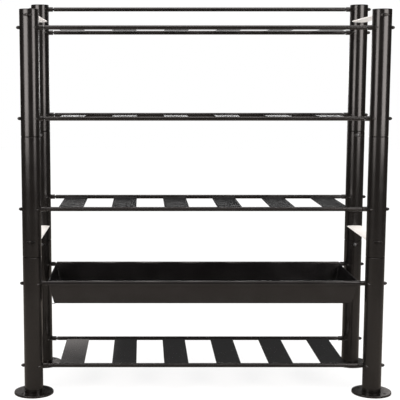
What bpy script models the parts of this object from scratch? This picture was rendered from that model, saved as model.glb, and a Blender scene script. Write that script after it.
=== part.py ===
"""Steel shelving unit: four tubular posts, through rods, slatted shelves and one deep tray.

Metres, +Z up. The origin is on the floor, at the centre of the unit.
+X is the unit's right, and its front faces -Y.
"""

import math

import bmesh
import bpy
from mathutils import Matrix, Vector

# Driving dimensions
POST_SPACING_X = 1.380
POST_SPACING_Y = 0.420
POST_DIAMETER = 0.076
POST_WALL = 0.003
LOWER_JOINT_Z = 0.564
UPPER_JOINT_Z = 1.047
FRONT_TOP_Z = 1.544
REAR_RISE = 0.047
BOTTOM_SHELF_Z = 0.115
TRAY_Z = 0.455
MIDDLE_SHELF_Z = 0.757
UPPER_SHELF_Z = 1.118
TOP_SHELF_DROP = 0.071
REAR_RAIL_DROP = 0.019
LOWER_BRACE_RISE = 0.064
UPPER_BRACE_DROP = 0.024
ROD_DIAMETER = 0.017
STUD_DIAMETER = 0.008
SCREW_DIAMETER = 0.008

# Clearances and overruns that all pieces share
SEAT_GAP = 0.0003
HOLE_CLEARANCE = 0.0003
CUT_OVERRUN = 0.004
MERGE_DISTANCE = 0.00001

# Numbers of flat sides on round pieces
POST_SIDES = 16
FOOT_SIDES = 20
ROD_SIDES = 10
SCREW_SIDES = 6
HOLE_SIDES = 6
NUT_SIDES = 6
OVAL_SIDES = 12

# Values worked out from the driving dimensions
POST_RADIUS = POST_DIAMETER / 2
POST_BORE = POST_RADIUS - POST_WALL
SLEEVE_RADIUS = POST_BORE - SEAT_GAP
ROD_RADIUS = ROD_DIAMETER / 2
STUD_RADIUS = STUD_DIAMETER / 2
SCREW_RADIUS = SCREW_DIAMETER / 2
HALF_X = POST_SPACING_X / 2
HALF_Y = POST_SPACING_Y / 2
REAR_TOP_Z = FRONT_TOP_Z + REAR_RISE
TOP_SHELF_Z = FRONT_TOP_Z - TOP_SHELF_DROP
REAR_RAIL_Z = REAR_TOP_Z - REAR_RAIL_DROP
LOWER_BRACE_Z = LOWER_JOINT_Z + LOWER_BRACE_RISE
UPPER_BRACE_Z = FRONT_TOP_Z - UPPER_BRACE_DROP

SHELF_LEVELS = {
    "bottom": BOTTOM_SHELF_Z,
    "middle": MIDDLE_SHELF_Z,
    "upper": UPPER_SHELF_Z,
    "top": TOP_SHELF_Z,
}
ROD_LEVELS = {**SHELF_LEVELS, "tray": TRAY_Z}
BRACE_LEVELS = {"lower": LOWER_BRACE_Z, "upper": UPPER_BRACE_Z}
CORNERS = {
    "front_left": (-1, -1),
    "front_right": (1, -1),
    "rear_left": (-1, 1),
    "rear_right": (1, 1),
}

ALONG_X = Matrix.Rotation(math.pi / 2, 4, "Y")
ALONG_Y = Matrix.Rotation(-math.pi / 2, 4, "X")
QUARTER_TURN = Matrix.Rotation(math.pi / 2, 4, "Z")
HALF_TURN = Matrix.Rotation(math.pi, 4, "Z")

for old in list(bpy.data.objects):
    bpy.data.objects.remove(old, do_unlink=True)

parts = bpy.data.collections.new("shelving_unit")
cutters = bpy.data.collections.new("cutters")
bpy.context.scene.collection.children.link(parts)
bpy.context.scene.collection.children.link(cutters)


def finish(name, colour, roughness, metallic):
    """A Principled material."""
    made = bpy.data.materials.new(name)
    made.use_nodes = True
    shader = made.node_tree.nodes["Principled BSDF"]
    shader.inputs["Base Color"].default_value = (*colour, 1)
    shader.inputs["Roughness"].default_value = roughness
    shader.inputs["Metallic"].default_value = metallic
    return made


def moved(x=0, y=0, z=0):
    """A plain shift."""
    return Matrix.Translation((x, y, z))


def circumscribed(radius, sides):
    """The corner radius of a regular outline whose flats touch the given circle."""
    return radius / math.cos(math.pi / sides)


def add_part(name, mesh, material, place=Matrix()):
    """A named piece of the unit, smooth between its sharp edges."""
    mesh.materials.clear()
    mesh.materials.append(material)
    mesh.shade_smooth()
    mesh.set_sharp_from_angle(angle=math.radians(35))
    part = bpy.data.objects.new(name, mesh)
    part.matrix_world = place
    parts.objects.link(part)
    return part


def helper(name, mesh):
    """A hidden body, used to shape a piece."""
    body = bpy.data.objects.new(name, mesh)
    body.hide_render = True
    body.display_type = "WIRE"
    cutters.objects.link(body)
    return body


def evaluated_mesh(body):
    """A body's mesh with its modifiers applied."""
    bpy.context.view_layer.update()
    seen = body.evaluated_get(bpy.context.evaluated_depsgraph_get())
    return bpy.data.meshes.new_from_object(seen)


def shaped(name, mesh, steps):
    """The mesh after a run of Booleans; each step is an operation and a tool's mesh."""
    body = helper(name, mesh)
    tools = []
    for operation, tool_mesh in steps:
        tool = helper(f"{name}_{operation.lower()}", tool_mesh)
        tools.append(tool)
        modifier = body.modifiers.new(tool.name, "BOOLEAN")
        modifier.operation = operation
        modifier.solver = "EXACT"
        modifier.object = tool
    made = evaluated_mesh(body)
    for used in [body, *tools]:
        bpy.data.objects.remove(used, do_unlink=True)
    return made


def turned(name, profile, sides, closed=False):
    """A body turned round Z, its first corner towards +Y as on a round bar.

    The profile gives radius and height, down the body's outer side.
    """
    mesh = bpy.data.meshes.new(name)
    form = bmesh.new()
    corners = [form.verts.new((radius, 0, height)) for radius, height in profile]
    for first, second in zip(corners, corners[1:]):
        form.edges.new((first, second))
    if closed:
        form.edges.new((corners[-1], corners[0]))
    form.to_mesh(mesh)
    form.free()
    body = helper(name, mesh)
    screw = body.modifiers.new("turn", "SCREW")
    screw.axis = "Z"
    screw.steps = sides
    screw.render_steps = sides
    screw.use_merge_vertices = True
    screw.merge_threshold = MERGE_DISTANCE
    made = evaluated_mesh(body)
    made.transform(QUARTER_TURN)
    bpy.data.objects.remove(body, do_unlink=True)
    return made


def round_bar(radius, length, sides, place=Matrix()):
    """A cylinder along Z about its own middle, then moved to its place."""
    mesh = bpy.data.meshes.new("round_bar")
    form = bmesh.new()
    bmesh.ops.create_cone(form, cap_ends=True, segments=sides,
                          radius1=radius, radius2=radius, depth=length)
    form.transform(place)
    form.to_mesh(mesh)
    form.free()
    return mesh


def oval_bar(width, height, length, place=Matrix()):
    """An oval cylinder along Y about its own middle, then moved to its place."""
    scale = Matrix.Diagonal((width / 2, length, height / 2, 1))
    unit = round_bar(1, 1, OVAL_SIDES, ALONG_Y)
    unit.transform(place @ scale)
    return unit


def thickened(name, mesh, sheet_thickness):
    """An open surface given its sheet thickness on the inner side."""
    body = helper(name, mesh)
    sheet = body.modifiers.new("sheet", "SOLIDIFY")
    sheet.thickness = sheet_thickness
    sheet.offset = -1
    sheet.use_even_offset = True
    made = evaluated_mesh(body)
    bpy.data.objects.remove(body, do_unlink=True)
    return made


black_tube = finish("black_tube", (0.020, 0.018, 0.017), 0.34, 0.0)
black_rod = finish("black_rod", (0.022, 0.020, 0.019), 0.36, 0.0)
black_sheet = finish("black_sheet", (0.027, 0.025, 0.024), 0.45, 0.0)
pale_bar = finish("pale_bar", (0.78, 0.77, 0.76), 0.30, 0.0)

# Feet: a round floor plate with a boss that stands inside the post
FOOT_DIAMETER = 0.160
FOOT_THICKNESS = 0.008
FOOT_CHAMFER = 0.002
BOSS_HEIGHT = 0.040
BOSS_WALL = 0.004
ANCHOR_DIAMETER = 0.011
ANCHOR_CIRCLE = 0.122
ANCHOR_COUNT = 4

FOOT_RADIUS = FOOT_DIAMETER / 2


def foot_mesh():
    """A turned plate with a ring-shaped boss and a circle of anchor holes."""
    plate = turned("plate", [
        (0, FOOT_THICKNESS),
        (FOOT_RADIUS - FOOT_CHAMFER, FOOT_THICKNESS),
        (FOOT_RADIUS, FOOT_THICKNESS - FOOT_CHAMFER),
        (FOOT_RADIUS, 0),
        (0, 0),
    ], FOOT_SIDES)
    boss_top = FOOT_THICKNESS + BOSS_HEIGHT
    boss_root = FOOT_THICKNESS / 2
    boss = turned("boss", [
        (SLEEVE_RADIUS, boss_top),
        (SLEEVE_RADIUS, boss_root),
        (SLEEVE_RADIUS - BOSS_WALL, boss_root),
        (SLEEVE_RADIUS - BOSS_WALL, boss_top),
    ], POST_SIDES, closed=True)
    steps = [("UNION", boss)]
    for index in range(ANCHOR_COUNT):
        turn = Matrix.Rotation((index + 0.5) * math.tau / ANCHOR_COUNT, 4, "Z")
        place = turn @ moved(ANCHOR_CIRCLE / 2, 0, FOOT_THICKNESS / 2)
        length = FOOT_THICKNESS + 2 * CUT_OVERRUN
        steps.append(("DIFFERENCE", round_bar(ANCHOR_DIAMETER / 2, length, HOLE_SIDES, place)))
    return shaped("foot", plate, steps)


foot = foot_mesh()
for corner, (side, depth) in CORNERS.items():
    add_part(f"{corner}_foot", foot.copy(), black_tube, moved(side * HALF_X, depth * HALF_Y))

# Caps: a disc on the post's end with a short plug inside it
CAP_THICKNESS = 0.004
CAP_CHAMFER = 0.0015
PLUG_DEPTH = 0.006

TOP_OF_ROW = {-1: FRONT_TOP_Z, 1: REAR_TOP_Z}

cap = turned("cap", [
    (0, 0),
    (POST_RADIUS - CAP_CHAMFER, 0),
    (POST_RADIUS, -CAP_CHAMFER),
    (POST_RADIUS, -CAP_THICKNESS),
    (SLEEVE_RADIUS, -CAP_THICKNESS),
    (SLEEVE_RADIUS, -CAP_THICKNESS - PLUG_DEPTH),
    (0, -CAP_THICKNESS - PLUG_DEPTH),
], POST_SIDES)
for corner, (side, depth) in CORNERS.items():
    place = moved(side * HALF_X, depth * HALF_Y, TOP_OF_ROW[depth])
    add_part(f"{corner}_cap", cap.copy(), black_tube, place)

# Posts: three tube sections, the upper two with a spigot that enters the one below
SEAM_CHAMFER = 0.002
SPIGOT_REACH = 0.050
SPIGOT_WALL = 0.004
JOINT_SCREW_DROP = 0.016
HEAD_DIAMETER = 0.014
HEAD_HEIGHT = 0.005
HEAD_CROWN_SHARE = 0.6
SCREW_TIP = 0.002

SPIGOT_BORE = SLEEVE_RADIUS - SPIGOT_WALL
RODS_OF_ROW = {
    -1: list(ROD_LEVELS.values()),
    1: [*ROD_LEVELS.values(), REAR_RAIL_Z],
}


def screw_mesh(seat, inner_end):
    """A button head screw along Z whose head sits at one height and shank ends at another."""
    head = HEAD_DIAMETER / 2
    return turned("screw", [
        (0, seat + HEAD_HEIGHT),
        (head * HEAD_CROWN_SHARE, seat + HEAD_HEIGHT),
        (head, seat),
        (SCREW_RADIUS, seat),
        (SCREW_RADIUS, inner_end),
        (0, inner_end),
    ], SCREW_SIDES)


def section_profile(low, high, section):
    """A tube wall, chamfered at its seams, with a stepped bore where it holds a spigot."""
    outside = [(POST_RADIUS, high)]
    if section != "upper":
        outside = [(POST_RADIUS - SEAM_CHAMFER, high), (POST_RADIUS, high - SEAM_CHAMFER)]
    if section == "lower":
        return outside + [(POST_RADIUS, low), (POST_BORE, low), (POST_BORE, high)]
    return outside + [
        (POST_RADIUS, low + SEAM_CHAMFER),
        (POST_RADIUS - SEAM_CHAMFER, low),
        (SLEEVE_RADIUS, low),
        (SLEEVE_RADIUS, low - SPIGOT_REACH),
        (SPIGOT_BORE, low - SPIGOT_REACH),
        (SPIGOT_BORE, low + SPIGOT_REACH),
        (POST_BORE, low + SPIGOT_REACH),
        (POST_BORE, high),
    ]


def drill(radius, length, place):
    """A cutter that leaves the hole's clearance all round."""
    hole = circumscribed(radius + HOLE_CLEARANCE, HOLE_SIDES)
    return ("DIFFERENCE", round_bar(hole, length, HOLE_SIDES, place))


def section_drills(low, high, depth):
    """Holes for the studs, the brace screws and the joint screw of one section."""
    across = POST_DIAMETER + 2 * CUT_OVERRUN
    steps = []
    for z in RODS_OF_ROW[depth]:
        if low < z < high:
            steps.append(drill(STUD_RADIUS, across, moved(z=z) @ ALONG_X))
    for z in BRACE_LEVELS.values():
        if low < z < high:
            steps.append(drill(SCREW_RADIUS, across, moved(z=z) @ ALONG_Y))
    for joint in (LOWER_JOINT_Z, UPPER_JOINT_Z):
        z = joint + SEAT_GAP - JOINT_SCREW_DROP
        if low < z < high:
            length = POST_RADIUS + CUT_OVERRUN
            middle = moved(0, -depth * length / 2, z)
            steps.append(drill(SCREW_RADIUS, length, middle @ ALONG_Y))
    return steps


def section_mesh(low, high, depth, section):
    """One tube section, with its spigot's joint screw where it has one."""
    tube = turned("tube", section_profile(low, high, section), POST_SIDES, closed=True)
    steps = section_drills(low, high, depth)
    if section != "lower":
        screw = screw_mesh(POST_RADIUS + SEAT_GAP, SPIGOT_BORE - SCREW_TIP)
        facing = ALONG_Y if depth < 0 else HALF_TURN @ ALONG_Y
        screw.transform(moved(z=low - JOINT_SCREW_DROP) @ facing)
        steps.append(("UNION", screw))
    return shaped("section", tube, steps)


for corner, (side, depth) in CORNERS.items():
    ends = {
        "lower": (FOOT_THICKNESS + SEAT_GAP, LOWER_JOINT_Z),
        "middle": (LOWER_JOINT_Z + SEAT_GAP, UPPER_JOINT_Z),
        "upper": (UPPER_JOINT_Z + SEAT_GAP, TOP_OF_ROW[depth] - CAP_THICKNESS - SEAT_GAP),
    }
    for section, (low, high) in ends.items():
        mesh = section_mesh(low, high, depth, section)
        add_part(f"{corner}_post_{section}", mesh, black_tube,
                 moved(side * HALF_X, depth * HALF_Y))

# Rods: a bar between the posts, saddled ferrules, and studs with dome nuts
FERRULE_LENGTH = 0.0185
FERRULE_DIAMETER = 0.0195
SADDLE_SPREAD = 0.034
GROOVE_LENGTH = 0.003
NUT_WIDTH = 0.013
NUT_LENGTH = 0.0126
NUT_FLATS_LENGTH = 0.006
DOME_RADIUS_SHARE = 0.72
DOME_HEIGHT_SHARE = 0.72

POST_INNER_X = HALF_X - POST_RADIUS
FERRULE_END_X = POST_INNER_X - FERRULE_LENGTH
BAR_END_X = FERRULE_END_X - GROOVE_LENGTH
NUT_SEAT_X = HALF_X + POST_RADIUS + SEAT_GAP


def bar_profile():
    """The rod's outline from one stud end to the other."""
    stud_end = NUT_SEAT_X + NUT_FLATS_LENGTH
    upper = [
        (0, stud_end),
        (STUD_RADIUS, stud_end),
        (STUD_RADIUS, BAR_END_X),
        (ROD_RADIUS, BAR_END_X),
    ]
    return upper + [(radius, -height) for radius, height in reversed(upper)]


def ferrule_mesh():
    """A collar that widens to a saddle cut to the post's curve; the post is at +X."""
    middle = (FERRULE_END_X + HALF_X) / 2
    mesh = round_bar(FERRULE_DIAMETER / 2, HALF_X - FERRULE_END_X, ROD_SIDES,
                     moved(x=middle) @ ALONG_X)
    for corner in mesh.vertices:
        if corner.co.x > middle:
            corner.co.y *= SADDLE_SPREAD / FERRULE_DIAMETER
    tall = FERRULE_DIAMETER + 2 * CUT_OVERRUN
    post = round_bar(POST_RADIUS + SEAT_GAP, tall, POST_SIDES, moved(x=HALF_X))
    return shaped("ferrule", mesh, [("DIFFERENCE", post)])


def nut_mesh():
    """A hexagon dome nut whose seat is at the origin."""
    corner = circumscribed(NUT_WIDTH / 2, NUT_SIDES)
    dome = NUT_LENGTH - NUT_FLATS_LENGTH
    return turned("nut", [
        (0, NUT_LENGTH),
        (corner * DOME_RADIUS_SHARE, NUT_FLATS_LENGTH + dome * DOME_HEIGHT_SHARE),
        (corner, NUT_FLATS_LENGTH),
        (corner, 0),
        (0, 0),
    ], NUT_SIDES)


def rod_mesh():
    """The bar joined with the ferrule and nut at each of its ends."""
    bar = turned("bar", bar_profile(), ROD_SIDES)
    bar.transform(ALONG_X)
    nut = nut_mesh()
    nut.transform(moved(x=NUT_SEAT_X) @ ALONG_X)
    steps = []
    for fitting in (ferrule_mesh(), nut):
        opposite = fitting.copy()
        opposite.transform(HALF_TURN)
        steps.append(("UNION", fitting))
        steps.append(("UNION", opposite))
    return shaped("rod", bar, steps)


rod = rod_mesh()
for level, z in ROD_LEVELS.items():
    add_part(f"{level}_front_rod", rod.copy(), black_rod, moved(0, -HALF_Y, z))
    add_part(f"{level}_rear_rod", rod.copy(), black_rod, moved(0, HALF_Y, z))
add_part("rear_guard_rail", rod.copy(), black_rod, moved(0, HALF_Y, REAR_RAIL_Z))

# Slats: sheet channels whose ends are coped round the rods
SLAT_COUNT = 6
SLAT_WIDTH = 0.100
SLAT_PITCH = 0.214
SLAT_SHEET = 0.0025
SLAT_FLANGE = 0.012
SLAT_RISE = 0.0025
SLAT_BEND = 0.003
SLAT_UNDERLAP = 0.006


def slat_outline():
    """The channel's outer side across its width, with a flat across each bend."""
    half = SLAT_WIDTH / 2
    right = [
        (half - SLAT_BEND, SLAT_RISE),
        (half, SLAT_RISE - SLAT_BEND),
        (half, SLAT_RISE - SLAT_FLANGE),
    ]
    return [(-x, z) for x, z in reversed(right)] + right


def face_outwards(form, outward):
    """Face an open surface one way, so that its faces together look along a direction."""
    bmesh.ops.recalc_face_normals(form, faces=form.faces)
    form.normal_update()
    if sum(face.normal.dot(outward) * face.calc_area() for face in form.faces) < 0:
        bmesh.ops.reverse_faces(form, faces=form.faces)


def slat_mesh():
    """A channel from the front rod to the rear rod."""
    half_length = HALF_Y - SLAT_UNDERLAP
    mesh = bpy.data.meshes.new("slat")
    form = bmesh.new()
    near = [form.verts.new((x, -half_length, z)) for x, z in slat_outline()]
    edges = [form.edges.new(pair) for pair in zip(near, near[1:])]
    grown = bmesh.ops.extrude_edge_only(form, edges=edges)["geom"]
    far = [item for item in grown if isinstance(item, bmesh.types.BMVert)]
    bmesh.ops.translate(form, verts=far, vec=(0, 2 * half_length, 0))
    face_outwards(form, Vector((0, 0, 1)))
    form.to_mesh(mesh)
    form.free()
    channel = thickened("slat", mesh, SLAT_SHEET)
    across = SLAT_WIDTH + 2 * CUT_OVERRUN
    copes = []
    for y in (-HALF_Y, HALF_Y):
        rod_space = round_bar(ROD_RADIUS + SEAT_GAP, across, ROD_SIDES, moved(y=y) @ ALONG_X)
        copes.append(("DIFFERENCE", rod_space))
    return shaped("slat", channel, copes)


slat = slat_mesh()
for level, z in SHELF_LEVELS.items():
    for index in range(SLAT_COUNT):
        x = (index - (SLAT_COUNT - 1) / 2) * SLAT_PITCH
        add_part(f"{level}_slat_{index + 1}", slat.copy(), black_sheet, moved(x, 0, z))

# Tray: a flared pan whose long rims are rolled over and round the two rods
TRAY_DEPTH = 0.091
TRAY_FLARE = 0.024
TRAY_SHEET = 0.0015
TRAY_BEND = 0.004
TRAY_BEND_STEPS = 2
ROUND_PROFILE_SHARE = 0.5
TRAY_END_GAP = 0.0005
ROLL_DEGREES = 225
ROLL_STEPS = 9


def roll_rim(form, depth, roll_radius):
    """Grow one long top edge of the pan into an arc round its rod."""
    rim = [edge for edge in form.edges
           if all(end.co.z == 0 and end.co.y * depth > 0 for end in edge.verts)]
    for step in range(1, ROLL_STEPS + 1):
        angle = math.radians(ROLL_DEGREES) * step / ROLL_STEPS
        grown = bmesh.ops.extrude_edge_only(form, edges=rim)["geom"]
        ends = [item for item in grown if isinstance(item, bmesh.types.BMVert)]
        for end in ends:
            end.co.y = depth * (HALF_Y - roll_radius * math.cos(angle))
            end.co.z = roll_radius * math.sin(angle)
        rim = [item for item in grown if isinstance(item, bmesh.types.BMEdge)
               and all(end in ends for end in item.verts)]


def tray_mesh():
    """The pan's outer skin with its rolled rims, thickened inwards."""
    roll_sides = ROLL_STEPS * 360 / ROLL_DEGREES
    roll_radius = circumscribed(ROD_RADIUS + SEAT_GAP, roll_sides)
    top_x = BAR_END_X - TRAY_END_GAP
    top_y = HALF_Y - roll_radius
    mesh = bpy.data.meshes.new("tray")
    form = bmesh.new()
    bmesh.ops.create_cube(form, size=1)
    form.normal_update()
    lid = max(form.faces, key=lambda face: face.normal.z)
    bmesh.ops.delete(form, geom=[lid], context="FACES_ONLY")
    for corner in form.verts:
        is_top = corner.co.z > 0
        flare = 0 if is_top else TRAY_FLARE
        corner.co.x = math.copysign(top_x - flare, corner.co.x)
        corner.co.y = math.copysign(top_y - flare, corner.co.y)
        corner.co.z = 0 if is_top else -TRAY_DEPTH
    floor_edges = [edge for edge in form.edges if all(end.co.z < 0 for end in edge.verts)]
    bmesh.ops.bevel(form, geom=floor_edges, offset=TRAY_BEND, segments=TRAY_BEND_STEPS,
                    profile=ROUND_PROFILE_SHARE, affect="EDGES")
    for depth in (-1, 1):
        roll_rim(form, depth, roll_radius)
    face_outwards(form, Vector((0, 0, -1)))
    form.to_mesh(mesh)
    form.free()
    return thickened("tray", mesh, TRAY_SHEET)


add_part("tray", tray_mesh(), black_sheet, moved(z=TRAY_Z))

# Side braces: oval bars saddled between the posts, each end held by a screw and washer
BRACE_WIDTH = 0.066
BRACE_HEIGHT = 0.012
WASHER_WIDTH = 0.036
WASHER_HEIGHT = 0.012
WASHER_CREST = 0.003
SCREW_GRIP = 0.020

WASHER_FACE_Y = HALF_Y + POST_RADIUS + SEAT_GAP + WASHER_CREST


def post_space(height, y):
    """A cutter the size of a post with its seat gap, at one row."""
    return ("DIFFERENCE", round_bar(POST_RADIUS + SEAT_GAP, height + 2 * CUT_OVERRUN,
                                    POST_SIDES, moved(y=y)))


def brace_mesh():
    """The saddled bar joined with the screw and washer at each of its ends."""
    bar = shaped("bar", oval_bar(BRACE_WIDTH, BRACE_HEIGHT, POST_SPACING_Y),
                 [post_space(BRACE_HEIGHT, y) for y in (-HALF_Y, HALF_Y)])
    pad = oval_bar(WASHER_WIDTH, WASHER_HEIGHT, POST_RADIUS,
                   moved(y=WASHER_FACE_Y - POST_RADIUS / 2))
    washer = shaped("washer", pad, [post_space(WASHER_HEIGHT, HALF_Y)])
    screw = screw_mesh(WASHER_FACE_Y, HALF_Y - POST_RADIUS - SCREW_GRIP)
    screw.transform(ALONG_Y)
    steps = []
    for fitting in (screw, washer):
        opposite = fitting.copy()
        opposite.transform(HALF_TURN)
        steps.append(("UNION", fitting))
        steps.append(("UNION", opposite))
    return shaped("brace", bar, steps)


brace = brace_mesh()
for side_name, side in {"left": -1, "right": 1}.items():
    for level, z in BRACE_LEVELS.items():
        add_part(f"{side_name}_brace_{level}", brace.copy(), pale_bar,
                 moved(side * HALF_X, 0, z))
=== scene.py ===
import math

import bmesh
import bpy
from mathutils import Color, Matrix, Vector


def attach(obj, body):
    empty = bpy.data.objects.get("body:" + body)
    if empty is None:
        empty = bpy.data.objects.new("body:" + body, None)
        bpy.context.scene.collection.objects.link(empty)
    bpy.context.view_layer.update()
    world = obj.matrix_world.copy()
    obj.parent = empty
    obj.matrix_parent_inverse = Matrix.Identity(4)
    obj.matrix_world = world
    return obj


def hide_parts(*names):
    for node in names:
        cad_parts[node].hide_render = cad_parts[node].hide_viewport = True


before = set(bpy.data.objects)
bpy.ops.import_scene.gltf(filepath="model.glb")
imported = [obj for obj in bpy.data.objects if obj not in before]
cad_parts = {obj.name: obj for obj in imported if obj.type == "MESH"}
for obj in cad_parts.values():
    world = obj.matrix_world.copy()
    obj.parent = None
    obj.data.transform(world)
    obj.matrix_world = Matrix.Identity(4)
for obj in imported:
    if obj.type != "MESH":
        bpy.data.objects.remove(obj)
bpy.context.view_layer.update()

# Posts: four uprights, each of three lengths of welded steel tube stacked end to end on inner
# spigots. The tube is 76 mm across, cut square with its seam ends slightly broken, and carries
# a semi-gloss black powder coat that was stoved before the lengths were put together.
POST_SPACING_X = 1.380
POST_SPACING_Y = 0.420
POST_RADIUS = 0.038
POST_WALL = 0.003
POST_SIDES = 72
LOWER_JOINT_Z = 0.564
UPPER_JOINT_Z = 1.047
FRONT_TOP_Z = 1.544
REAR_TOP_Z = 1.591
SEAT_GAP = 0.0003
SEAM_CHAMFER = 0.002
TUBE_EDGE = 0.0004
FOOT_THICKNESS = 0.008
CAP_THICKNESS = 0.004
MERGE_DISTANCE = 0.000005
SMOOTH_ANGLE = math.radians(32)
FLAT_FACE_WEIGHT = 100

# A powder coat's orange peel repeats every 3 to 4 mm. Its grain is finer than the render can
# show, so it is drawn as coarse as 0.8 mm.
POST_BLACK = ("#0a0807", "#0d0b0a")
POST_ROUGHNESS = (0.22, 0.25)
CLOUD_SIZE = 0.085
CLOUD_DETAIL = 4
PEEL_SIZE = 0.0035
PEEL_DETAIL = 1
PEEL_HEIGHT = 0.000020
GRAIN_SIZE = 0.0008
GRAIN_DETAIL = 2
GRAIN_HEIGHT = 0.000003
NOISE_MIDDLE = (0.38, 0.62)
COAT_IOR = 1.5

HALF_X = POST_SPACING_X / 2
HALF_Y = POST_SPACING_Y / 2
POST_BORE = POST_RADIUS - POST_WALL
CORNERS = {
    "front_left": (-1, -1),
    "front_right": (1, -1),
    "rear_left": (-1, 1),
    "rear_right": (1, 1),
}
TOP_OF_ROW = {-1: FRONT_TOP_Z, 1: REAR_TOP_Z}


def moved(x=0.0, y=0.0, z=0.0):
    """A plain shift."""
    return Matrix.Translation((x, y, z))


def linear(hex_colour):
    """An sRGB hex colour as the linear colour that a shader takes."""
    channels = [channel / 0xff for channel in bytes.fromhex(hex_colour.lstrip("#"))]
    return (*Color(channels).from_srgb_to_scene_linear(), 1.0)


def add_node(tree, kind, settings=None, links=None):
    """Add a shader node, give its sockets and options their values, and link what feeds it."""
    node = tree.nodes.new(kind)
    for key, value in (settings or {}).items():
        if isinstance(key, int) or key in node.inputs:
            node.inputs[key].default_value = value
        else:
            setattr(node, key, value)
    for key, source in (links or {}).items():
        tree.links.new(source, node.inputs[key])
    return node


def surface(name, body, colours, roughness, clouds, reliefs):
    """A finish whose colour and gloss drift in soft clouds, with one relief on another."""
    finish = bpy.data.materials.new(name)
    finish.use_nodes = True
    tree = finish.node_tree
    shader = tree.nodes["Principled BSDF"]
    for key, value in body.items():
        shader.inputs[key].default_value = value
    where = {"Vector": add_node(tree, "ShaderNodeTexCoord").outputs["Object"]}
    size, detail = clouds
    drift = add_node(tree, "ShaderNodeTexNoise", {"Scale": 1 / size, "Detail": detail}, where)
    spread = add_node(tree, "ShaderNodeMapRange",
                      {"From Min": NOISE_MIDDLE[0], "From Max": NOISE_MIDDLE[1]},
                      {"Value": drift.outputs["Fac"]}).outputs["Result"]
    tint = add_node(tree, "ShaderNodeMix",
                    {"data_type": "RGBA", 6: linear(colours[0]), 7: linear(colours[1])},
                    {0: spread})
    gloss = add_node(tree, "ShaderNodeMapRange",
                     {"To Min": roughness[0], "To Max": roughness[1]}, {"Value": spread})
    below = {}
    for size, detail, height in reliefs:
        pattern = add_node(tree, "ShaderNodeTexNoise", {"Scale": 1 / size, "Detail": detail},
                           where)
        bump = add_node(tree, "ShaderNodeBump", {"Distance": height},
                        {"Height": pattern.outputs["Fac"], **below})
        below = {"Normal": bump.outputs["Normal"]}
    tree.links.new(tint.outputs[2], shader.inputs["Base Color"])
    tree.links.new(gloss.outputs["Result"], shader.inputs["Roughness"])
    tree.links.new(bump.outputs["Normal"], shader.inputs["Normal"])
    return finish


def powder_coat(name, colours, roughness, peel_height=PEEL_HEIGHT, grain_height=GRAIN_HEIGHT):
    """A stoved powder coat: even colour in soft clouds, orange peel and a fine grain."""
    reliefs = ((PEEL_SIZE, PEEL_DETAIL, peel_height), (GRAIN_SIZE, GRAIN_DETAIL, grain_height))
    return surface(name, {"IOR": COAT_IOR}, colours, roughness, (CLOUD_SIZE, CLOUD_DETAIL),
                   reliefs)


def spun(profile, sides, ring=False):
    """A form turned round Z from an outline of (radius, height) points."""
    form = bmesh.new()
    corners = [form.verts.new((radius, 0, height)) for radius, height in profile]
    ends = corners[1:] + (corners[:1] if ring else [])
    edges = [form.edges.new(pair) for pair in zip(corners, ends)]
    bmesh.ops.spin(form, geom=corners + edges, axis=(0, 0, 1), cent=(0, 0, 0),
                   angle=math.tau, steps=sides, use_merge=True)
    bmesh.ops.remove_doubles(form, verts=form.verts, dist=MERGE_DISTANCE)
    bmesh.ops.recalc_face_normals(form, faces=form.faces)
    return form


def piece(name, form, finish, nodes, place=Matrix()):
    """A named piece on the root body, which stands for its CAD nodes."""
    mesh = bpy.data.meshes.new(name)
    form.to_mesh(mesh)
    mesh.transform(place)
    mesh.materials.append(finish)
    mesh.shade_smooth()
    mesh.set_sharp_from_angle(angle=SMOOTH_ANGLE)
    made = bpy.data.objects.new(name, mesh)
    bpy.context.scene.collection.objects.link(made)
    flat = made.modifiers.new("flat_faces", "WEIGHTED_NORMAL")
    flat.keep_sharp = True
    flat.weight = FLAT_FACE_WEIGHT
    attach(made, "root")
    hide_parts(*nodes)
    return made


# Semi-gloss powder coat on tube: near black with a warm cast, which mirrors lights as soft
# bands.
post_coat = powder_coat("semi_gloss_black_powder_coat", POST_BLACK, POST_ROUGHNESS)

for corner, (side, depth) in CORNERS.items():
    cuts = {
        "lower": (FOOT_THICKNESS + SEAT_GAP, LOWER_JOINT_Z),
        "middle": (LOWER_JOINT_Z + SEAT_GAP, UPPER_JOINT_Z),
        "upper": (UPPER_JOINT_Z + SEAT_GAP, TOP_OF_ROW[depth] - CAP_THICKNESS - SEAT_GAP),
    }
    for section, (low, high) in cuts.items():
        top_break = TUBE_EDGE if section == "upper" else SEAM_CHAMFER
        low_break = TUBE_EDGE if section == "lower" else SEAM_CHAMFER
        tube = spun([
            (POST_RADIUS - top_break, high),
            (POST_RADIUS, high - top_break),
            (POST_RADIUS, low + low_break),
            (POST_RADIUS - low_break, low),
            (POST_BORE, low),
            (POST_BORE, high),
        ], POST_SIDES, ring=True)
        piece(f"{corner}_{section}_tube", tube, post_coat,
              [f"{corner}_post_{section}"], moved(side * HALF_X, depth * HALF_Y))

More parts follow.
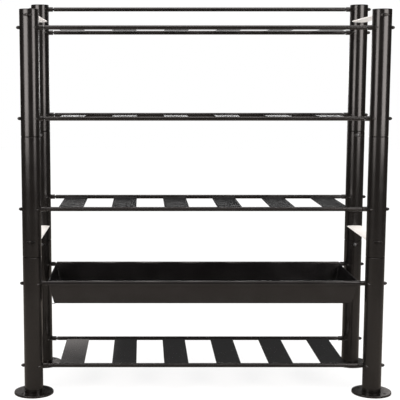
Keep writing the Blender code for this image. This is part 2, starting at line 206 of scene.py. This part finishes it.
# Joint screws: one button head screw under each seam, on the side that faces the other post,
# runs into the spigot and locks the two lengths. It is dull zinc-plated steel on a black
# oval saddle washer, and shows as a small grey dot in a dark ring on the rear posts.
JOINT_SCREW_DROP = 0.016
JOINT_WASHER = (0.030, 0.016, 0.0015)
WASHER_SIDES = 40
WASHER_ROUND = 0.0012
WASHER_ROUND_STEPS = 2
HEAD_RADIUS = 0.007
HEAD_HEIGHT = 0.005
HEAD_SHARES = ((0.55, 1.0), (0.82, 0.80), (0.97, 0.38), (1.0, 0.0))
HEAD_SIDES = 24
SOCKET_RADIUS = 0.0026
SOCKET_DEPTH = 0.0028
SOCKET_FLATS = 6
SHANK_RADIUS = 0.004
SHANK_LENGTH = 0.006
ALONG_Y = Matrix.Rotation(-math.pi / 2, 4, "X")
HALF_TURN = Matrix.Rotation(math.pi, 4, "Z")

ZINC_GREY = ("#7c7d7f", "#626466")
ZINC_ROUGHNESS = (0.36, 0.48)
OXIDE_BLACK = ("#3a3938", "#2c2b2b")
OXIDE_ROUGHNESS = (0.30, 0.42)
SPANGLE_SIZE = 0.004
SPANGLE_DETAIL = 3


def plated(name, colours, roughness):
    """A thin metal plating, slightly mottled."""
    return surface(name, {"Metallic": 1.0}, colours, roughness, (SPANGLE_SIZE, SPANGLE_DETAIL),
                   ((SPANGLE_SIZE, SPANGLE_DETAIL, GRAIN_HEIGHT),))


def edges_where(form, picked):
    """The edges of a form whose two ends are both picked by their place."""
    return [edge for edge in form.edges if all(picked(end.co) for end in edge.verts)]


def drawn_out(form, edges):
    """Extrude edges in place, and give the new points and the new edges between them."""
    grown = bmesh.ops.extrude_edge_only(form, edges=edges)["geom"]
    points = [item for item in grown if isinstance(item, bmesh.types.BMVert)]
    outer = [item for item in grown if isinstance(item, bmesh.types.BMEdge)
             and all(end in points for end in item.verts)]
    return points, outer


def rounded(form, edges, radius, steps):
    """Round some edges of a form."""
    bmesh.ops.bevel(form, geom=edges, offset=radius, segments=steps, profile=0.5,
                    affect="EDGES", material=-1)


def button_screw():
    """A button head with a hexagon socket, along Z, its seat at the origin."""
    crown = [(HEAD_RADIUS * wide, HEAD_HEIGHT * tall) for wide, tall in HEAD_SHARES]
    socket_floor = HEAD_HEIGHT - SOCKET_DEPTH
    screw = spun([(0, socket_floor), (SOCKET_RADIUS, socket_floor), (SOCKET_RADIUS, HEAD_HEIGHT),
                  *crown, (SHANK_RADIUS, 0), (SHANK_RADIUS, -SHANK_LENGTH), (0, -SHANK_LENGTH)],
                 HEAD_SIDES)
    facet = math.tau / SOCKET_FLATS
    for point in screw.verts:
        if point.co.z > 0 and 0 < point.co.xy.length < SOCKET_RADIUS + MERGE_DISTANCE:
            turn = math.atan2(point.co.y, point.co.x) % facet - facet / 2
            point.co.xy *= math.cos(facet / 2) / math.cos(turn)
    return screw


def saddle_washer(width, height, crest):
    """An oval pad on a post's +Y side, about the post's axis."""
    pad = bmesh.new()
    face = POST_RADIUS + crest
    size = Matrix.Diagonal((width / 2, 1, height / 2, 1))
    bmesh.ops.create_circle(pad, cap_ends=True, segments=WASHER_SIDES, radius=1,
                            matrix=moved(y=face) @ size @ ALONG_Y)
    seat, _ = drawn_out(pad, pad.edges[:])
    for point in seat:
        point.co.y = math.sqrt(POST_RADIUS ** 2 - point.co.x ** 2)
    bmesh.ops.holes_fill(pad, edges=pad.edges[:], sides=0)
    bmesh.ops.recalc_face_normals(pad, faces=pad.faces)
    rim = edges_where(pad, lambda place: abs(place.y - face) < MERGE_DISTANCE)
    rounded(pad, rim, min(WASHER_ROUND, crest / 2), WASHER_ROUND_STEPS)
    return pad


# Zinc plating on steel, dulled by handling: a cool grey metal with a soft glint.
zinc_plate = plated("dull_zinc_plate", ZINC_GREY, ZINC_ROUGHNESS)

# Black oxide on steel: a dark grey metal with soft reflections.
black_oxide = plated("black_oxide_steel", OXIDE_BLACK, OXIDE_ROUGHNESS)

screw = button_screw()
screw.transform(moved(y=POST_RADIUS + JOINT_WASHER[2]) @ ALONG_Y)
washer = saddle_washer(*JOINT_WASHER)
for corner, (side, depth) in CORNERS.items():
    facing = Matrix() if depth < 0 else HALF_TURN
    for section, joint in (("middle", LOWER_JOINT_Z), ("upper", UPPER_JOINT_Z)):
        seat = moved(side * HALF_X, depth * HALF_Y, joint + SEAT_GAP - JOINT_SCREW_DROP)
        for part, form, finish in (("screw", screw, zinc_plate), ("washer", washer, black_oxide)):
            piece(f"{corner}_{section}_joint_{part}", form, finish,
                  [f"{corner}_post_{section}"], seat @ facing)

# Caps: a pressed steel disc closes each tube. Its rim is rounded and flush with the tube,
# a plug under it keeps it in place, and it is coated like the post.
CAP_ROUND = 0.0018
CAP_ROUND_STEPS = 3
PLUG_DEPTH = 0.006
SLEEVE_RADIUS = POST_BORE - SEAT_GAP
SHARP_ANGLE = math.radians(40)


def sharp_edges(form, picked=lambda place: True):
    """The sharp edges of a form, or those whose two ends are both picked."""
    form.normal_update()
    return [edge for edge in edges_where(form, picked) if edge.calc_face_angle(0) > SHARP_ANGLE]


cap = spun([
    (0, 0),
    (POST_RADIUS, 0),
    (POST_RADIUS, -CAP_THICKNESS),
    (SLEEVE_RADIUS, -CAP_THICKNESS),
    (SLEEVE_RADIUS, -CAP_THICKNESS - PLUG_DEPTH),
    (0, -CAP_THICKNESS - PLUG_DEPTH),
], POST_SIDES)
rounded(cap, sharp_edges(cap, lambda place: place.z == 0), CAP_ROUND, CAP_ROUND_STEPS)
for corner, (side, depth) in CORNERS.items():
    piece(f"{corner}_end_cap", cap, post_coat, [f"{corner}_cap"],
          moved(side * HALF_X, depth * HALF_Y, TOP_OF_ROW[depth]))

# Feet: a laser-cut steel floor plate with four anchor holes and a ring-shaped boss welded on
# it that stands inside the post. The plate's top rim is rounded by grinding before coating.
FOOT_RADIUS = 0.080
FOOT_ROUND = 0.002
FOOT_ROUND_STEPS = 3
FOOT_SIDES = 80
BOSS_HEIGHT = 0.040
BOSS_WALL = 0.004
ANCHOR_RADIUS = 0.0055
ANCHOR_CIRCLE_RADIUS = 0.061
ANCHOR_COUNT = 4
ANCHOR_TURN = math.radians(45)
ANCHOR_SIDES = 24


def joined(*forms):
    """Several forms as one."""
    whole = bmesh.new()
    for form in forms:
        mesh = bpy.data.meshes.new("joined")
        form.to_mesh(mesh)
        whole.from_mesh(mesh)
        bpy.data.meshes.remove(mesh)
    return whole


def foot_plate():
    """A disc with a circle of anchor holes, its top rim rounded."""
    plate = bmesh.new()
    bmesh.ops.create_circle(plate, cap_ends=False, segments=FOOT_SIDES, radius=FOOT_RADIUS)
    for index in range(ANCHOR_COUNT):
        turn = Matrix.Rotation(ANCHOR_TURN + index * math.tau / ANCHOR_COUNT, 4, "Z")
        bmesh.ops.create_circle(plate, cap_ends=False, segments=ANCHOR_SIDES,
                                radius=ANCHOR_RADIUS, matrix=turn @ moved(ANCHOR_CIRCLE_RADIUS))
    bmesh.ops.triangle_fill(plate, edges=plate.edges[:], use_beauty=True)
    grown = bmesh.ops.extrude_face_region(plate, geom=plate.faces[:])["geom"]
    top = [item for item in grown if isinstance(item, bmesh.types.BMVert)]
    bmesh.ops.translate(plate, verts=top, vec=(0, 0, FOOT_THICKNESS))
    bmesh.ops.recalc_face_normals(plate, faces=plate.faces)
    rim = sharp_edges(plate, lambda place: place.z > 0
                      and place.xy.length > FOOT_RADIUS - MERGE_DISTANCE)
    rounded(plate, rim, FOOT_ROUND, FOOT_ROUND_STEPS)
    return plate


boss = spun([
    (SLEEVE_RADIUS, FOOT_THICKNESS + BOSS_HEIGHT),
    (SLEEVE_RADIUS, FOOT_THICKNESS / 2),
    (SLEEVE_RADIUS - BOSS_WALL, FOOT_THICKNESS / 2),
    (SLEEVE_RADIUS - BOSS_WALL, FOOT_THICKNESS + BOSS_HEIGHT),
], POST_SIDES, ring=True)
foot = joined(foot_plate(), boss)
for corner, (side, depth) in CORNERS.items():
    piece(f"{corner}_floor_plate", foot, post_coat, [f"{corner}_foot"],
          moved(side * HALF_X, depth * HALF_Y))

# Rods: cold-drawn 17 mm round bar between the posts, with a turned neck at each end. A collar
# on a leaf-shaped cast saddle, bent round the tube, spreads the pull of the stud that runs
# through the post. Bar, collar and saddle are coated black after fitting.
ROD_RADIUS = 0.0085
ROD_SIDES = 40
ROD_EDGE = 0.001
STUD_RADIUS = 0.004
GROOVE_LENGTH = 0.003
FERRULE_LENGTH = 0.0185
FERRULE_RADIUS = 0.00975
FERRULE_SIDES = 40
FERRULE_SPREAD_SHARE = 1.244
FERRULE_STEP_SHARES = ((0.10, 0.0), (0.35, 0.05), (0.60, 0.22), (0.80, 0.52), (1.0, 1.0))
EDGE_STEPS = 2
SADDLE_REACH = math.radians(60)
SADDLE_HEIGHT = 0.0190
SADDLE_CREST = 0.0030
SADDLE_RIM = 0.0010
SADDLE_COLUMNS = 36
SADDLE_ROWS = 8
SHELF_LEVELS = {"bottom": 0.115, "middle": 0.757, "upper": 1.118, "top": 1.473}
TRAY_Z = 0.455
REAR_RAIL_Z = 1.572

ROD_BLACK = ("#0b0908", "#0f0d0c")
ROD_ROUGHNESS = (0.22, 0.28)
ROD_PEEL_HEIGHT = 0.000006

FERRULE_END_X = HALF_X - POST_RADIUS - FERRULE_LENGTH
BAR_END_X = FERRULE_END_X - GROOVE_LENGTH
NUT_SEAT_X = HALF_X + POST_RADIUS + SEAT_GAP
NUT_FLATS = 0.006
ALONG_X = Matrix.Rotation(math.pi / 2, 4, "Y")


def soften(form, radius):
    """Round every sharp edge of a form."""
    rounded(form, sharp_edges(form), radius, EDGE_STEPS)
    return form


def both_ends(form):
    """A form at one end of the unit and its copy at the other."""
    other = form.copy()
    other.transform(HALF_TURN)
    return joined(form, other)


def ferrule():
    """A collar at +X that widens to a saddle on the post."""
    collar = bmesh.new()
    bmesh.ops.create_circle(collar, cap_ends=True, segments=FERRULE_SIDES,
                            radius=FERRULE_RADIUS, matrix=moved(x=FERRULE_END_X) @ ALONG_X)
    edges = collar.edges[:]
    before = 1
    for way, spread in FERRULE_STEP_SHARES:
        points, edges = drawn_out(collar, edges)
        wider = 1 + (FERRULE_SPREAD_SHARE - 1) * spread
        for point in points:
            point.co.y *= wider / before
            seat_x = HALF_X - math.sqrt(POST_RADIUS ** 2 - point.co.y ** 2)
            point.co.x = FERRULE_END_X + (seat_x - FERRULE_END_X) * way
        before = wider
    bmesh.ops.edgeloop_fill(collar, edges=edges)
    bmesh.ops.recalc_face_normals(collar, faces=collar.faces)
    return soften(collar, ROD_EDGE / 2)


def saddle():
    """A leaf-shaped plate at +X, crowned along its middle and bent round the post."""
    leaf = bmesh.new()
    bmesh.ops.create_grid(leaf, x_segments=SADDLE_COLUMNS, y_segments=SADDLE_ROWS, size=1)
    grown = bmesh.ops.extrude_face_region(leaf, geom=leaf.faces[:])["geom"]
    front = {item for item in grown if isinstance(item, bmesh.types.BMVert)}
    for point in leaf.verts:
        along, across, _ = point.co
        crown = (1 - across ** 2) * (1 - along ** 4)
        crest = SADDLE_RIM + (SADDLE_CREST - SADDLE_RIM) * crown
        radius = POST_RADIUS + (crest if point in front else 0)
        turn = SADDLE_REACH * along
        height = SADDLE_HEIGHT / 2 * (1 - along ** 2) * across
        point.co = (HALF_X - radius * math.cos(turn), radius * math.sin(turn), height)
    bmesh.ops.remove_doubles(leaf, verts=leaf.verts, dist=MERGE_DISTANCE)
    bmesh.ops.dissolve_degenerate(leaf, edges=leaf.edges[:], dist=MERGE_DISTANCE)
    bmesh.ops.recalc_face_normals(leaf, faces=leaf.faces)
    return leaf


def rod_bar():
    """The bar with its necks and hidden studs, along X about the origin."""
    stud_end = NUT_SEAT_X + NUT_FLATS
    half = [
        (0, stud_end),
        (STUD_RADIUS, stud_end),
        (STUD_RADIUS, BAR_END_X),
        (ROD_RADIUS - ROD_EDGE, BAR_END_X),
        (ROD_RADIUS, BAR_END_X - ROD_EDGE),
    ]
    bar = spun(half + [(radius, -height) for radius, height in reversed(half)], ROD_SIDES)
    bar.transform(ALONG_X)
    return bar


# Powder coat on drawn bar: as on the posts, a little duller where hands and goods rub it.
rod_coat = powder_coat("black_powder_coat_on_bar", ROD_BLACK, ROD_ROUGHNESS, ROD_PEEL_HEIGHT)

rod = joined(rod_bar(), both_ends(joined(ferrule(), saddle())))
ROD_PLACES = {"rear_guard_rail": (HALF_Y, REAR_RAIL_Z)}
for level, z in {**SHELF_LEVELS, "tray": TRAY_Z}.items():
    ROD_PLACES[f"{level}_front_rod"] = (-HALF_Y, z)
    ROD_PLACES[f"{level}_rear_rod"] = (HALF_Y, z)
for node, (y, z) in ROD_PLACES.items():
    piece(f"{node}_bar", rod, rod_coat, [node], moved(0, y, z))

# Dome nuts: an M8 cap nut on each stud, outside the post. It is cold-formed steel in black
# oxide, with chamfered corners and a domed cap that hides the thread.
NUT_WIDTH = 0.013
NUT_LENGTH = 0.0126
NUT_SIDES = 6
NUT_EDGE = 0.0006
DOME_RADIUS_SHARE = 0.92
DOME_SIDES = 24
DOME_RINGS = 16


def dome_nut():
    """A hexagon and a dome, along X, the seat at the origin."""
    corner_radius = NUT_WIDTH / 2 / math.cos(math.pi / NUT_SIDES)
    flats = bmesh.new()
    bmesh.ops.create_cone(flats, cap_ends=True, segments=NUT_SIDES, radius1=corner_radius,
                          radius2=corner_radius, depth=NUT_FLATS,
                          matrix=moved(x=NUT_FLATS / 2) @ ALONG_X)
    soften(flats, NUT_EDGE)
    dome = bmesh.new()
    dome_length = NUT_LENGTH - NUT_FLATS
    dome_radius = NUT_WIDTH / 2 * DOME_RADIUS_SHARE
    shape = Matrix.Diagonal((dome_length / dome_radius, 1, 1, 1))
    bmesh.ops.create_uvsphere(dome, u_segments=DOME_SIDES, v_segments=DOME_RINGS,
                              radius=dome_radius, matrix=moved(x=NUT_FLATS) @ shape @ ALONG_X)
    return joined(flats, dome)


nut = dome_nut()
nut.transform(moved(x=NUT_SEAT_X))
nut_pair = both_ends(nut)
for node, (y, z) in ROD_PLACES.items():
    piece(f"{node}_nuts", nut_pair, black_oxide, [node], moved(0, y, z))

# Slats: shallow channels folded from 2.5 mm steel sheet, six to a shelf, welded between the
# two rods and coated with them. Here they are flat strips, square at the edges: the flanges
# that point down in the CAD are left out.
SLAT_COUNT = 6
SLAT_WIDTH = 0.100
SLAT_PITCH = 0.214
SLAT_SHEET = 0.0025
SLAT_RISE = 0.0025
SLAT_UNDERLAP = 0.0065
SLAT_LENGTH = POST_SPACING_Y - 2 * SLAT_UNDERLAP

SHEET_BLACK = ("#0b0a0a", "#0f0e0e")
SHEET_ROUGHNESS = (0.13, 0.16)
SHEET_PEEL_HEIGHT = 0.000002
SHEET_GRAIN_HEIGHT = 0.0000003

# Powder coat on sheet: smoother than on the tubes, so it mirrors the room at a low angle.
sheet_coat = powder_coat("black_powder_coat_on_sheet", SHEET_BLACK, SHEET_ROUGHNESS,
                         SHEET_PEEL_HEIGHT, SHEET_GRAIN_HEIGHT)

slat = bmesh.new()
slat_size = Matrix.Diagonal((SLAT_WIDTH, SLAT_LENGTH, SLAT_SHEET, 1))
bmesh.ops.create_cube(slat, size=1, matrix=moved(z=SLAT_RISE - SLAT_SHEET / 2) @ slat_size)
for level, z in SHELF_LEVELS.items():
    for index in range(SLAT_COUNT):
        x = (index - (SLAT_COUNT - 1) / 2) * SLAT_PITCH
        piece(f"{level}_channel_{index + 1}", slat, sheet_coat,
              [f"{level}_slat_{index + 1}"], moved(x, 0, z))

# Tray: one deep pan folded from 1.5 mm steel sheet, flared on all four sides and welded at
# its corners. Its long rims are rolled over and round the two rods, which carry it, and its
# short rims are hemmed outwards.
TRAY_DEPTH = 0.091
TRAY_FLARE = 0.024
TRAY_SHEET = 0.0015
TRAY_BEND = 0.004
TRAY_BEND_STEPS = 5
TRAY_CORNER = 0.002
TRAY_CORNER_STEPS = 3
TRAY_END_GAP = 0.0005
TRAY_SKIN_RADIUS = 0.00915
ROLL_ANGLE = math.radians(225)
ROLL_STEPS = 22
HEM_BORE = 0.0006
HEM_ANGLE = math.radians(200)
HEM_STEPS = 8
X_AXIS = 0
Y_AXIS = 1


def folded_sheet(name, form, thickness):
    """A sheet given its thickness on its inner side."""
    mesh = bpy.data.meshes.new(name)
    form.to_mesh(mesh)
    body = bpy.data.objects.new(name, mesh)
    bpy.context.scene.collection.objects.link(body)
    wall = body.modifiers.new("sheet", "SOLIDIFY")
    wall.thickness = thickness
    wall.offset = -1
    wall.use_even_offset = True
    bpy.context.view_layer.update()
    solid = bmesh.new()
    solid.from_object(body, bpy.context.evaluated_depsgraph_get())
    bpy.data.objects.remove(body, do_unlink=True)
    bpy.data.meshes.remove(mesh)
    return solid


def curl_rim(pan, axis, side, top, radius, angle, steps):
    """Curl the rim on one side of the pan outwards and over, from its place at the top."""
    rim = edges_where(pan, lambda place: abs(place.z) < MERGE_DISTANCE
                      and abs(place[axis] - side * top) < MERGE_DISTANCE)
    for step in range(1, steps + 1):
        turn = angle * step / steps
        points, rim = drawn_out(pan, rim)
        for point in points:
            point.co[axis] = side * (top + radius * (1 - math.cos(turn)))
            point.co.z = radius * math.sin(turn)


def tray():
    """The pan with its rolled and hemmed rims, about the rods' height."""
    top_x = BAR_END_X - TRAY_END_GAP
    top_y = HALF_Y - TRAY_SKIN_RADIUS
    pan = bmesh.new()
    bmesh.ops.create_cube(pan, size=1)
    lid = max(pan.faces, key=lambda face: face.calc_center_median().z)
    bmesh.ops.delete(pan, geom=[lid], context="FACES_ONLY")
    for point in pan.verts:
        is_top = point.co.z > 0
        flare = 0 if is_top else TRAY_FLARE
        point.co.x = math.copysign(top_x - flare, point.co.x)
        point.co.y = math.copysign(top_y - flare, point.co.y)
        point.co.z = 0 if is_top else -TRAY_DEPTH
    upright = [edge for edge in pan.edges if edge.verts[0].co.z != edge.verts[1].co.z]
    rounded(pan, upright, TRAY_CORNER, TRAY_CORNER_STEPS)
    floor_edges = edges_where(pan, lambda place: place.z < MERGE_DISTANCE - TRAY_DEPTH)
    rounded(pan, floor_edges, TRAY_BEND, TRAY_BEND_STEPS)
    for side in (-1, 1):
        curl_rim(pan, Y_AXIS, side, top_y, TRAY_SKIN_RADIUS, ROLL_ANGLE, ROLL_STEPS)
    for side in (-1, 1):
        curl_rim(pan, X_AXIS, side, top_x, HEM_BORE, HEM_ANGLE, HEM_STEPS)
    bmesh.ops.recalc_face_normals(pan, faces=pan.faces)
    pan.normal_update()
    if max(pan.faces, key=lambda face: face.calc_area()).normal.z > 0:
        bmesh.ops.reverse_faces(pan, faces=pan.faces)
    return folded_sheet("tray", pan, TRAY_SHEET)


piece("tray_pan", tray(), sheet_coat, ["tray"], moved(z=TRAY_Z))

# Side braces: a flat oval bar ties each front post to the rear one at two heights. It is
# extruded aluminium in a pale satin coat, its ends milled to saddles that fit the tubes.
BRACE_WIDTH = 0.066
BRACE_HEIGHT = 0.012
BRACE_SIDES = 64
BRACE_RINGS = 12
BRACE_LEVELS = {"lower": 0.628, "upper": 1.520}
SIDES = {"left": -1, "right": 1}

PALE_COAT = ("#ebe8e5", "#e4e1dd")
PALE_ROUGHNESS = (0.30, 0.40)


def brace_bar():
    """An oval bar along Y whose ends follow the posts' curve."""
    bar = bmesh.new()
    size = Matrix.Diagonal((BRACE_WIDTH / 2, 1, BRACE_HEIGHT / 2, 1))
    bmesh.ops.create_circle(bar, cap_ends=False, segments=BRACE_SIDES, radius=1,
                            matrix=size @ ALONG_Y)
    points, edges = bar.verts[:], bar.edges[:]
    for ring in range(BRACE_RINGS + 1):
        if ring:
            points, edges = drawn_out(bar, edges)
        share = 2 * ring / BRACE_RINGS - 1
        for point in points:
            seat_y = HALF_Y - math.sqrt((POST_RADIUS + SEAT_GAP) ** 2 - point.co.x ** 2)
            point.co.y = seat_y * share
    bmesh.ops.holes_fill(bar, edges=bar.edges[:], sides=0)
    bmesh.ops.recalc_face_normals(bar, faces=bar.faces)
    return bar


# Pale satin coat on aluminium: off-white, soft gloss.
pale_coat = powder_coat("pale_satin_coat_on_aluminium", PALE_COAT, PALE_ROUGHNESS)

brace = brace_bar()
for side_name, side in SIDES.items():
    for level, z in BRACE_LEVELS.items():
        piece(f"{side_name}_{level}_oval_bar", brace, pale_coat,
              [f"{side_name}_brace_{level}"], moved(side * HALF_X, 0, z))

# Brace fixings: at each end of a side bar a screw comes through the post from outside, over
# a small oval saddle washer that lies against the tube. Both are steel in black oxide.
BRACE_WASHER = (0.036, 0.012, 0.003)

fixing_head = button_screw()
fixing_head.transform(moved(y=POST_RADIUS + BRACE_WASHER[2]) @ ALONG_Y)
fixing = joined(saddle_washer(*BRACE_WASHER), fixing_head)
fixing.transform(moved(y=HALF_Y))
fixing_pair = both_ends(fixing)
for side_name, side in SIDES.items():
    for level, z in BRACE_LEVELS.items():
        piece(f"{side_name}_{level}_fixings", fixing_pair, black_oxide,
              [f"{side_name}_brace_{level}"], moved(side * HALF_X, 0, z))

# Floor: a plain pale studio floor without any detail, which fades into the white beyond it.
# It partly glows to the camera, so that only a very faint shadow shows under the unit.
FLOOR_RADIUS = 14.0
FLOOR_SIDES = 96
FLOOR_ALBEDO = (0.90, 0.90, 0.90, 1.0)
FLOOR_GLOW_SHARE = 0.8
NEAR_GLOSS = 0.23
FAR_GLOSS = 0.06
GLOSS_TINT = (1.0, 0.90, 0.80, 1.0)
FADE_START = 1.4
FADE_END = 6.0
WHITE = (1.0, 1.0, 1.0, 1.0)


def floor_finish():
    """Matt white floor, which reflections see darker, and darker still away from the unit."""
    finish = bpy.data.materials.new("pale_floor")
    finish.use_nodes = True
    tree = finish.node_tree
    tree.nodes.remove(tree.nodes["Principled BSDF"])
    out = tree.nodes["Material Output"]
    path = add_node(tree, "ShaderNodeLightPath")
    where = add_node(tree, "ShaderNodeTexCoord").outputs["Object"]
    away = add_node(tree, "ShaderNodeVectorMath", {"operation": "LENGTH"}, {0: where})
    fade = add_node(tree, "ShaderNodeMapRange",
                    {"interpolation_type": "SMOOTHSTEP", "From Min": FADE_START,
                     "From Max": FADE_END, "To Min": NEAR_GLOSS,
                     "To Max": FAR_GLOSS}, {"Value": away.outputs["Value"]})
    warm = add_node(tree, "ShaderNodeMix",
                    {"data_type": "RGBA", "blend_type": "MULTIPLY", 0: 1.0, 6: GLOSS_TINT},
                    {7: fade.outputs["Result"]})
    pale = add_node(tree, "ShaderNodeBsdfDiffuse", {"Color": FLOOR_ALBEDO})
    dim = add_node(tree, "ShaderNodeBsdfDiffuse", None, {"Color": warm.outputs[2]})
    both = add_node(tree, "ShaderNodeMixShader", None,
                    {0: path.outputs["Is Glossy Ray"], 1: pale.outputs["BSDF"],
                     2: dim.outputs["BSDF"]})
    glow = add_node(tree, "ShaderNodeEmission", {"Color": WHITE})
    seen = add_node(tree, "ShaderNodeMath", {"operation": "MULTIPLY", 1: FLOOR_GLOW_SHARE},
                    {0: path.outputs["Is Camera Ray"]})
    shown = add_node(tree, "ShaderNodeMixShader", None,
                     {0: seen.outputs["Value"], 1: both.outputs["Shader"],
                      2: glow.outputs["Emission"]})
    tree.links.new(shown.outputs["Shader"], out.inputs["Surface"])
    return finish


disc = bmesh.new()
bmesh.ops.create_circle(disc, cap_ends=True, segments=FLOOR_SIDES, radius=FLOOR_RADIUS)
floor_mesh = bpy.data.meshes.new("floor")
disc.to_mesh(floor_mesh)
floor_mesh.materials.append(floor_finish())
floor = bpy.data.objects.new("floor", floor_mesh)
bpy.context.scene.collection.objects.link(floor)

# Studio light: two soft boxes at the front give the posts their pair of bands, two weak ones
# and a low one light the back, and one lies overhead. The room is white to the eye but dark in
# reflections, save for a bright strip of backdrop near the horizon.
SOFT_BOXES = {
    "front_left_box": ((-1.62, -1.56, 1.54), (1.38, 1.35), 43.0),
    "front_right_box": ((1.62, -1.56, 1.54), (1.38, 1.35), 43.0),
    "rear_left_box": ((-2.05, 3.4, 1.6), (0.80, 1.6), 6.0),
    "rear_right_box": ((2.05, 3.4, 1.6), (0.80, 1.6), 6.0),
    "overhead_box": ((0.0, -0.3, 4.2), (3.0, 3.0), 100.0),
    "low_left_box": ((-1.05, 3.10, 0.80), (1.20, 0.32), 1.2),
}
AIM = (0.0, 0.0, 0.95)
LAMP_TINT = (1.0, 0.93, 0.90)

for name, (spot, size, power) in SOFT_BOXES.items():
    lamp = bpy.data.lights.new(name, "AREA")
    lamp.shape = "RECTANGLE"
    lamp.size, lamp.size_y = size
    lamp.energy = power
    lamp.color = LAMP_TINT
    box = bpy.data.objects.new(name, lamp)
    box.rotation_euler = (Vector(AIM) - Vector(spot)).to_track_quat("-Z", "Y").to_euler()
    box.location = spot
    box.visible_camera = False
    bpy.context.scene.collection.objects.link(box)

# The room's bounds are parts of a unit direction: a rise is its Z, and a turn its Y, which
# grows to the back.
ROOM_FILL = 1.40
ROOM_TURN = (-0.2, 0.5)
FRONT_GLOSS = 0.02
REAR_GLOSS = (0.02, 0.10)
REAR_RISE = (0.10, 0.30)
BACKDROP_GLOSS = 6.5
BACKDROP_TOP_RISE = 0.075
BACKDROP_FOOT_RISE = -0.04
BACKDROP_FOOT_SHARE = 0.10
BACKDROP_TURN = (0.95, 0.985)

world = bpy.data.worlds.new("studio")
world.use_nodes = True
bpy.context.scene.world = world
tree = world.node_tree
back = tree.nodes["Background"]
path = add_node(tree, "ShaderNodeLightPath")
way = add_node(tree, "ShaderNodeSeparateXYZ", None,
               {0: add_node(tree, "ShaderNodeTexCoord").outputs["Generated"]})
low = add_node(tree, "ShaderNodeMapRange",
               {"interpolation_type": "SMOOTHSTEP", "From Min": 0.0,
                "From Max": BACKDROP_TOP_RISE, "To Min": 1.0, "To Max": 0.0},
               {"Value": way.outputs["Z"]})
high = add_node(tree, "ShaderNodeMapRange",
                {"interpolation_type": "SMOOTHSTEP", "From Min": BACKDROP_FOOT_RISE,
                 "From Max": 0.0, "To Min": BACKDROP_FOOT_SHARE, "To Max": 1.0},
                {"Value": way.outputs["Z"]})
behind = add_node(tree, "ShaderNodeMapRange",
                  {"interpolation_type": "SMOOTHSTEP", "From Min": BACKDROP_TURN[0],
                   "From Max": BACKDROP_TURN[1]}, {"Value": way.outputs["Y"]})
rear = add_node(tree, "ShaderNodeMapRange",
                {"From Min": REAR_RISE[0], "From Max": REAR_RISE[1],
                 "To Min": REAR_GLOSS[0], "To Max": REAR_GLOSS[1]}, {"Value": way.outputs["Z"]})
room = add_node(tree, "ShaderNodeMapRange",
                {"interpolation_type": "SMOOTHSTEP", "From Min": ROOM_TURN[0],
                 "From Max": ROOM_TURN[1], "To Min": FRONT_GLOSS},
                {"Value": way.outputs["Y"], "To Max": rear.outputs["Result"]})
band = add_node(tree, "ShaderNodeMath", {"operation": "MULTIPLY"},
                {0: low.outputs["Result"], 1: high.outputs["Result"]})
strip = add_node(tree, "ShaderNodeMath", {"operation": "MULTIPLY"},
                 {0: band.outputs["Value"], 1: behind.outputs["Result"]})
mirror = add_node(tree, "ShaderNodeMapRange", {"To Max": BACKDROP_GLOSS},
                  {"Value": strip.outputs["Value"], "To Min": room.outputs["Result"]})
reflected = add_node(tree, "ShaderNodeMix", {"data_type": "FLOAT", 2: ROOM_FILL},
                     {0: path.outputs["Is Glossy Ray"], 3: mirror.outputs["Result"]})
shown = add_node(tree, "ShaderNodeMix", {"data_type": "FLOAT", 3: 1.0},
                 {0: path.outputs["Is Camera Ray"], 2: reflected.outputs[0]})
tree.links.new(shown.outputs[0], back.inputs["Strength"])
back.inputs["Color"].default_value = WHITE

# Camera: a little above the upper shelf and left of the middle, tipped down slightly, with a
# long lens. The photograph was framed from there without turning, so the lens is shifted.
FRAME_PIXELS = 400
FOCAL_PIXELS = 981
SENSOR_WIDTH = 36.0
CAMERA_SPOT = (-0.245, -4.10, 1.269)
LENS_SHIFT_X = 0.143
CAMERA_PITCH = math.radians(6.97)

lens = bpy.data.cameras.new("camera")
lens.sensor_width = SENSOR_WIDTH
lens.lens = FOCAL_PIXELS / FRAME_PIXELS * SENSOR_WIDTH
lens.shift_x = LENS_SHIFT_X
lens.dof.use_dof = False
camera = bpy.data.objects.new("camera", lens)
camera.location = CAMERA_SPOT
camera.rotation_euler = (math.pi / 2 - CAMERA_PITCH, 0, 0)
bpy.context.scene.collection.objects.link(camera)
bpy.context.scene.camera = camera
bpy.context.scene.view_settings.view_transform = "Standard"
